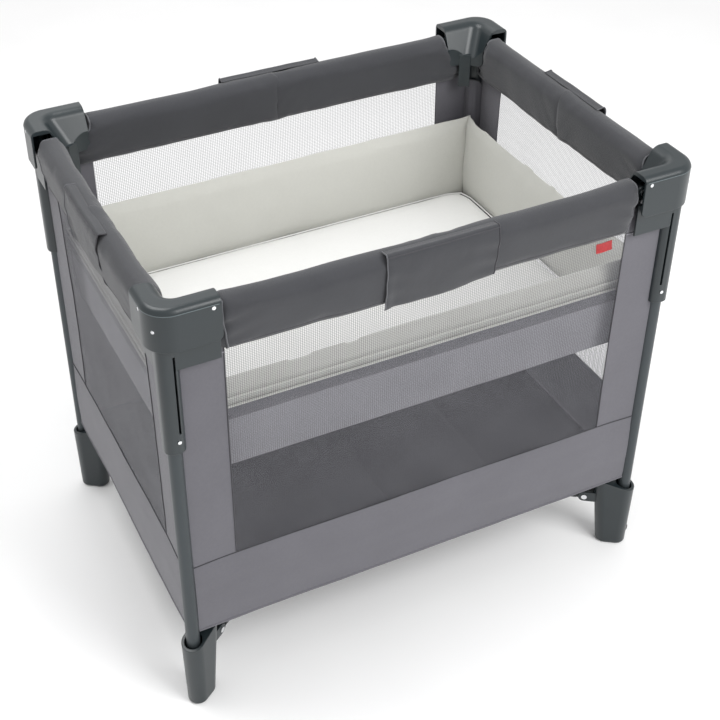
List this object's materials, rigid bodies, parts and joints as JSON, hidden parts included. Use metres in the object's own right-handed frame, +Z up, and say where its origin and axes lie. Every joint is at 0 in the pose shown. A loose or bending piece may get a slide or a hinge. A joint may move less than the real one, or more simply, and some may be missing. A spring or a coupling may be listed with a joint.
{
  "type": "travel play yard",
  "caption": "Folding travel play yard: four posts with feet, hinged padded top rails, mesh sides, central base hub and a raised padded bassinet insert with mattress.",
  "frame": {"origin": "on the floor, below the middle of the yard", "axes": "+X along the long side, -Y to the front, +Z up"},
  "size_m": [1.03, 0.736, 0.935],
  "materials": {
    "casting_plastic": "fine-grained moulded plastic, dark green-grey",
    "frame_tube": "satin powder coat, dark grey",
    "rail_tube": "satin powder coat, charcoal",
    "bright_steel": "bright plated steel",
    "hinge_plastic": "moulded plastic, charcoal",
    "button_plastic": "moulded plastic, red",
    "roller_rubber": "dark moulded tread",
    "rail_fabric": "charcoal woven polyester, padded",
    "panel_fabric": "mid grey woven polyester",
    "mesh_fabric": "fine open knitted mesh",
    "floor_fabric": "charcoal woven polyester",
    "insert_fabric": "warm light grey quilted polyester",
    "band_fabric": "grey woven band",
    "mattress_fabric": "off-white fitted sheet"
  },
  "bodies": {
    "post_front_left": {"corner_casting_front_left": "casting_plastic", "corner_bracket_front_left": "casting_plastic", "leg_tube_front_left": "frame_tube", "foot_front_left": "casting_plastic", "corner_fasteners_front_left": "bright_steel", "side_panel_front": "panel_fabric"},
    "base_link_front_left": {"base_link_front_left": "rail_tube"},
    "long_rail_front_left": {"long_rail_front_left": "rail_tube"},
    "short_rail_front_left": {"short_rail_front_left": "rail_tube"},
    "post_front_right": {"corner_casting_front_right": "casting_plastic", "corner_bracket_front_right": "casting_plastic", "leg_tube_front_right": "frame_tube", "foot_front_right": "casting_plastic", "corner_fasteners_front_right": "bright_steel", "side_panel_right": "panel_fabric"},
    "base_link_front_right": {"base_link_front_right": "rail_tube"},
    "long_rail_front_right": {"long_rail_front_right": "rail_tube"},
    "short_rail_front_right": {"short_rail_front_right": "rail_tube"},
    "post_back_left": {"corner_casting_back_left": "casting_plastic", "corner_bracket_back_left": "casting_plastic", "leg_tube_back_left": "frame_tube", "foot_back_left": "casting_plastic", "corner_fasteners_back_left": "bright_steel", "side_panel_left": "panel_fabric"},
    "base_link_back_left": {"base_link_back_left": "rail_tube"},
    "long_rail_back_left": {"long_rail_back_left": "rail_tube"},
    "short_rail_back_left": {"short_rail_back_left": "rail_tube"},
    "post_back_right": {"corner_casting_back_right": "casting_plastic", "corner_bracket_back_right": "casting_plastic", "leg_tube_back_right": "frame_tube", "foot_back_right": "casting_plastic", "corner_fasteners_back_right": "bright_steel", "side_panel_back": "panel_fabric"},
    "base_link_back_right": {"base_link_back_right": "rail_tube"},
    "long_rail_back_right": {"long_rail_back_right": "rail_tube"},
    "short_rail_back_right": {"short_rail_back_right": "rail_tube"},
    "rail_hinge_front": {"rail_hinge_front": "hinge_plastic", "hinge_pins_front": "bright_steel", "rail_cover_front": "rail_fabric"},
    "release_button_front": {"release_button_front": "button_plastic"},
    "rail_hinge_back": {"rail_hinge_back": "hinge_plastic", "hinge_pins_back": "bright_steel", "rail_cover_back": "rail_fabric"},
    "release_button_back": {"release_button_back": "button_plastic"},
    "rail_hinge_left": {"rail_hinge_left": "hinge_plastic", "hinge_pins_left": "bright_steel", "rail_cover_left": "rail_fabric"},
    "release_button_left": {"release_button_left": "button_plastic"},
    "rail_hinge_right": {"rail_hinge_right": "hinge_plastic", "hinge_pins_right": "bright_steel", "rail_cover_right": "rail_fabric"},
    "release_button_right": {"release_button_right": "button_plastic"},
    "hub": {"hub": "hinge_plastic", "hub_pins": "bright_steel", "floor_fabric": "floor_fabric"},
    "hub_handle": {"hub_handle": "button_plastic"},
    "insert": {"insert": "insert_fabric"},
    "mattress": {"mattress": "mattress_fabric"},
    "roller_front_right": {"roller_front_right": "roller_rubber"},
    "roller_back_right": {"roller_back_right": "roller_rubber"}
  },
  "joints": [
    {"name": "fold", "type": "hinge", "parent": "post_front_left", "child": "base_link_front_left", "pos_m": [-0.42014, -0.29253, 0.12], "axis": [0.5714, -0.8207, 0], "range_deg": [0, 90], "deforming": ["rail_cover_front", "rail_cover_back", "rail_cover_left", "rail_cover_right", "side_panel_front", "side_panel_back", "side_panel_left", "side_panel_right", "floor_fabric", "insert", "mattress"]},
    {"name": "hub_level", "type": "hinge", "parent": "base_link_front_left", "child": "hub", "pos_m": [-0.04514, -0.03143, 0.12], "axis": [0.5714, -0.8207, 0], "range_deg": [-90, 0]},
    {"name": "base_link_front_right_swing", "type": "hinge", "parent": "hub", "child": "base_link_front_right", "pos_m": [0.04514, -0.03143, 0.12], "axis": [0.5714, 0.8207, 0], "range_deg": [0, 90]},
    {"name": "post_front_right_level", "type": "hinge", "parent": "base_link_front_right", "child": "post_front_right", "pos_m": [0.42014, -0.29253, 0.12], "axis": [0.5714, 0.8207, 0], "range_deg": [-90, 0]},
    {"name": "base_link_back_left_swing", "type": "hinge", "parent": "hub", "child": "base_link_back_left", "pos_m": [-0.04514, 0.03143, 0.12], "axis": [-0.5714, -0.8207, 0], "range_deg": [0, 90]},
    {"name": "post_back_left_level", "type": "hinge", "parent": "base_link_back_left", "child": "post_back_left", "pos_m": [-0.42014, 0.29253, 0.12], "axis": [-0.5714, -0.8207, 0], "range_deg": [-90, 0]},
    {"name": "base_link_back_right_swing", "type": "hinge", "parent": "hub", "child": "base_link_back_right", "pos_m": [0.04514, 0.03143, 0.12], "axis": [-0.5714, 0.8207, 0], "range_deg": [0, 90]},
    {"name": "post_back_right_level", "type": "hinge", "parent": "base_link_back_right", "child": "post_back_right", "pos_m": [0.42014, 0.29253, 0.12], "axis": [-0.5714, 0.8207, 0], "range_deg": [-90, 0]},
    {"name": "long_rail_front_left_drop", "type": "hinge", "parent": "post_front_left", "child": "long_rail_front_left", "pos_m": [-0.409, -0.337, 0.895], "axis": [0, 1, 0], "range_deg": [0, 90]},
    {"name": "short_rail_front_left_drop", "type": "hinge", "parent": "post_front_left", "child": "short_rail_front_left", "pos_m": [-0.484, -0.28511, 0.895], "axis": [-1, 0, 0], "range_deg": [0, 90]},
    {"name": "long_rail_front_right_drop", "type": "hinge", "parent": "post_front_right", "child": "long_rail_front_right", "pos_m": [0.409, -0.337, 0.895], "axis": [0, -1, 0], "range_deg": [0, 90]},
    {"name": "short_rail_front_right_drop", "type": "hinge", "parent": "post_front_right", "child": "short_rail_front_right", "pos_m": [0.484, -0.28511, 0.895], "axis": [-1, 0, 0], "range_deg": [0, 90]},
    {"name": "long_rail_back_left_drop", "type": "hinge", "parent": "post_back_left", "child": "long_rail_back_left", "pos_m": [-0.409, 0.337, 0.895], "axis": [0, 1, 0], "range_deg": [0, 90]},
    {"name": "short_rail_back_left_drop", "type": "hinge", "parent": "post_back_left", "child": "short_rail_back_left", "pos_m": [-0.484, 0.28511, 0.895], "axis": [1, 0, 0], "range_deg": [0, 90]},
    {"name": "long_rail_back_right_drop", "type": "hinge", "parent": "post_back_right", "child": "long_rail_back_right", "pos_m": [0.409, 0.337, 0.895], "axis": [0, -1, 0], "range_deg": [0, 90]},
    {"name": "short_rail_back_right_drop", "type": "hinge", "parent": "post_back_right", "child": "short_rail_back_right", "pos_m": [0.484, 0.28511, 0.895], "axis": [1, 0, 0], "range_deg": [0, 90]},
    {"name": "rail_hinge_front_level", "type": "hinge", "parent": "long_rail_front_left", "child": "rail_hinge_front", "pos_m": [-0.034, -0.337, 0.895], "axis": [0, 1, 0], "range_deg": [-90, 0]},
    {"name": "rail_hinge_back_level", "type": "hinge", "parent": "long_rail_back_left", "child": "rail_hinge_back", "pos_m": [-0.034, 0.337, 0.895], "axis": [0, 1, 0], "range_deg": [-90, 0]},
    {"name": "rail_hinge_left_level", "type": "hinge", "parent": "short_rail_front_left", "child": "rail_hinge_left", "pos_m": [-0.484, -0.024, 0.895], "axis": [-1, 0, 0], "range_deg": [-90, 0]},
    {"name": "rail_hinge_right_level", "type": "hinge", "parent": "short_rail_front_right", "child": "rail_hinge_right", "pos_m": [0.484, -0.024, 0.895], "axis": [-1, 0, 0], "range_deg": [-90, 0]},
    {"name": "release_front", "type": "slide", "parent": "rail_hinge_front", "child": "release_button_front", "axis": [0, 0, 1], "range_m": [0, 0.005], "stiffness_N_per_m": 300, "springref_m": -0.002},
    {"name": "release_back", "type": "slide", "parent": "rail_hinge_back", "child": "release_button_back", "axis": [0, 0, 1], "range_m": [0, 0.005], "stiffness_N_per_m": 300, "springref_m": -0.002},
    {"name": "release_left", "type": "slide", "parent": "rail_hinge_left", "child": "release_button_left", "axis": [0, 0, 1], "range_m": [0, 0.005], "stiffness_N_per_m": 300, "springref_m": -0.002},
    {"name": "release_right", "type": "slide", "parent": "rail_hinge_right", "child": "release_button_right", "axis": [0, 0, 1], "range_m": [0, 0.005], "stiffness_N_per_m": 300, "springref_m": -0.002},
    {"name": "handle_pull", "type": "slide", "parent": "hub", "child": "hub_handle", "axis": [0, 0, 1], "range_m": [0, 0.02]},
    {"name": "insert_lift", "type": "slide", "parent": "hub", "child": "insert", "axis": [0, 0, 1], "range_m": [0, 0.45]},
    {"name": "mattress_lift", "type": "slide", "parent": "insert", "child": "mattress", "axis": [0, 0, 1], "range_m": [0, 0.42]},
    {"name": "roller_front_right_spin", "type": "hinge", "parent": "post_front_right", "child": "roller_front_right", "pos_m": [0.489, -0.337, 0.027], "axis": [0, 1, 0], "continuous": true},
    {"name": "roller_back_right_spin", "type": "hinge", "parent": "post_back_right", "child": "roller_back_right", "pos_m": [0.489, 0.337, 0.027], "axis": [0, 1, 0], "continuous": true}
  ],
  "couplings": [
    {"joint": "hub_level", "follows": "fold", "ratio": -1},
    {"joint": "base_link_front_right_swing", "follows": "fold", "ratio": 1},
    {"joint": "post_front_right_level", "follows": "fold", "ratio": -1},
    {"joint": "base_link_back_left_swing", "follows": "fold", "ratio": 1},
    {"joint": "post_back_left_level", "follows": "fold", "ratio": -1},
    {"joint": "base_link_back_right_swing", "follows": "fold", "ratio": 1},
    {"joint": "post_back_right_level", "follows": "fold", "ratio": -1},
    {"joint": "long_rail_front_left_drop", "follows": "fold", "ratio": 1},
    {"joint": "short_rail_front_left_drop", "follows": "fold", "ratio": 1},
    {"joint": "long_rail_front_right_drop", "follows": "fold", "ratio": 1},
    {"joint": "short_rail_front_right_drop", "follows": "fold", "ratio": 1},
    {"joint": "long_rail_back_left_drop", "follows": "fold", "ratio": 1},
    {"joint": "short_rail_back_left_drop", "follows": "fold", "ratio": 1},
    {"joint": "long_rail_back_right_drop", "follows": "fold", "ratio": 1},
    {"joint": "short_rail_back_right_drop", "follows": "fold", "ratio": 1},
    {"joint": "rail_hinge_front_level", "follows": "fold", "ratio": -1},
    {"joint": "rail_hinge_back_level", "follows": "fold", "ratio": -1},
    {"joint": "rail_hinge_left_level", "follows": "fold", "ratio": -1},
    {"joint": "rail_hinge_right_level", "follows": "fold", "ratio": -1}
  ]
}
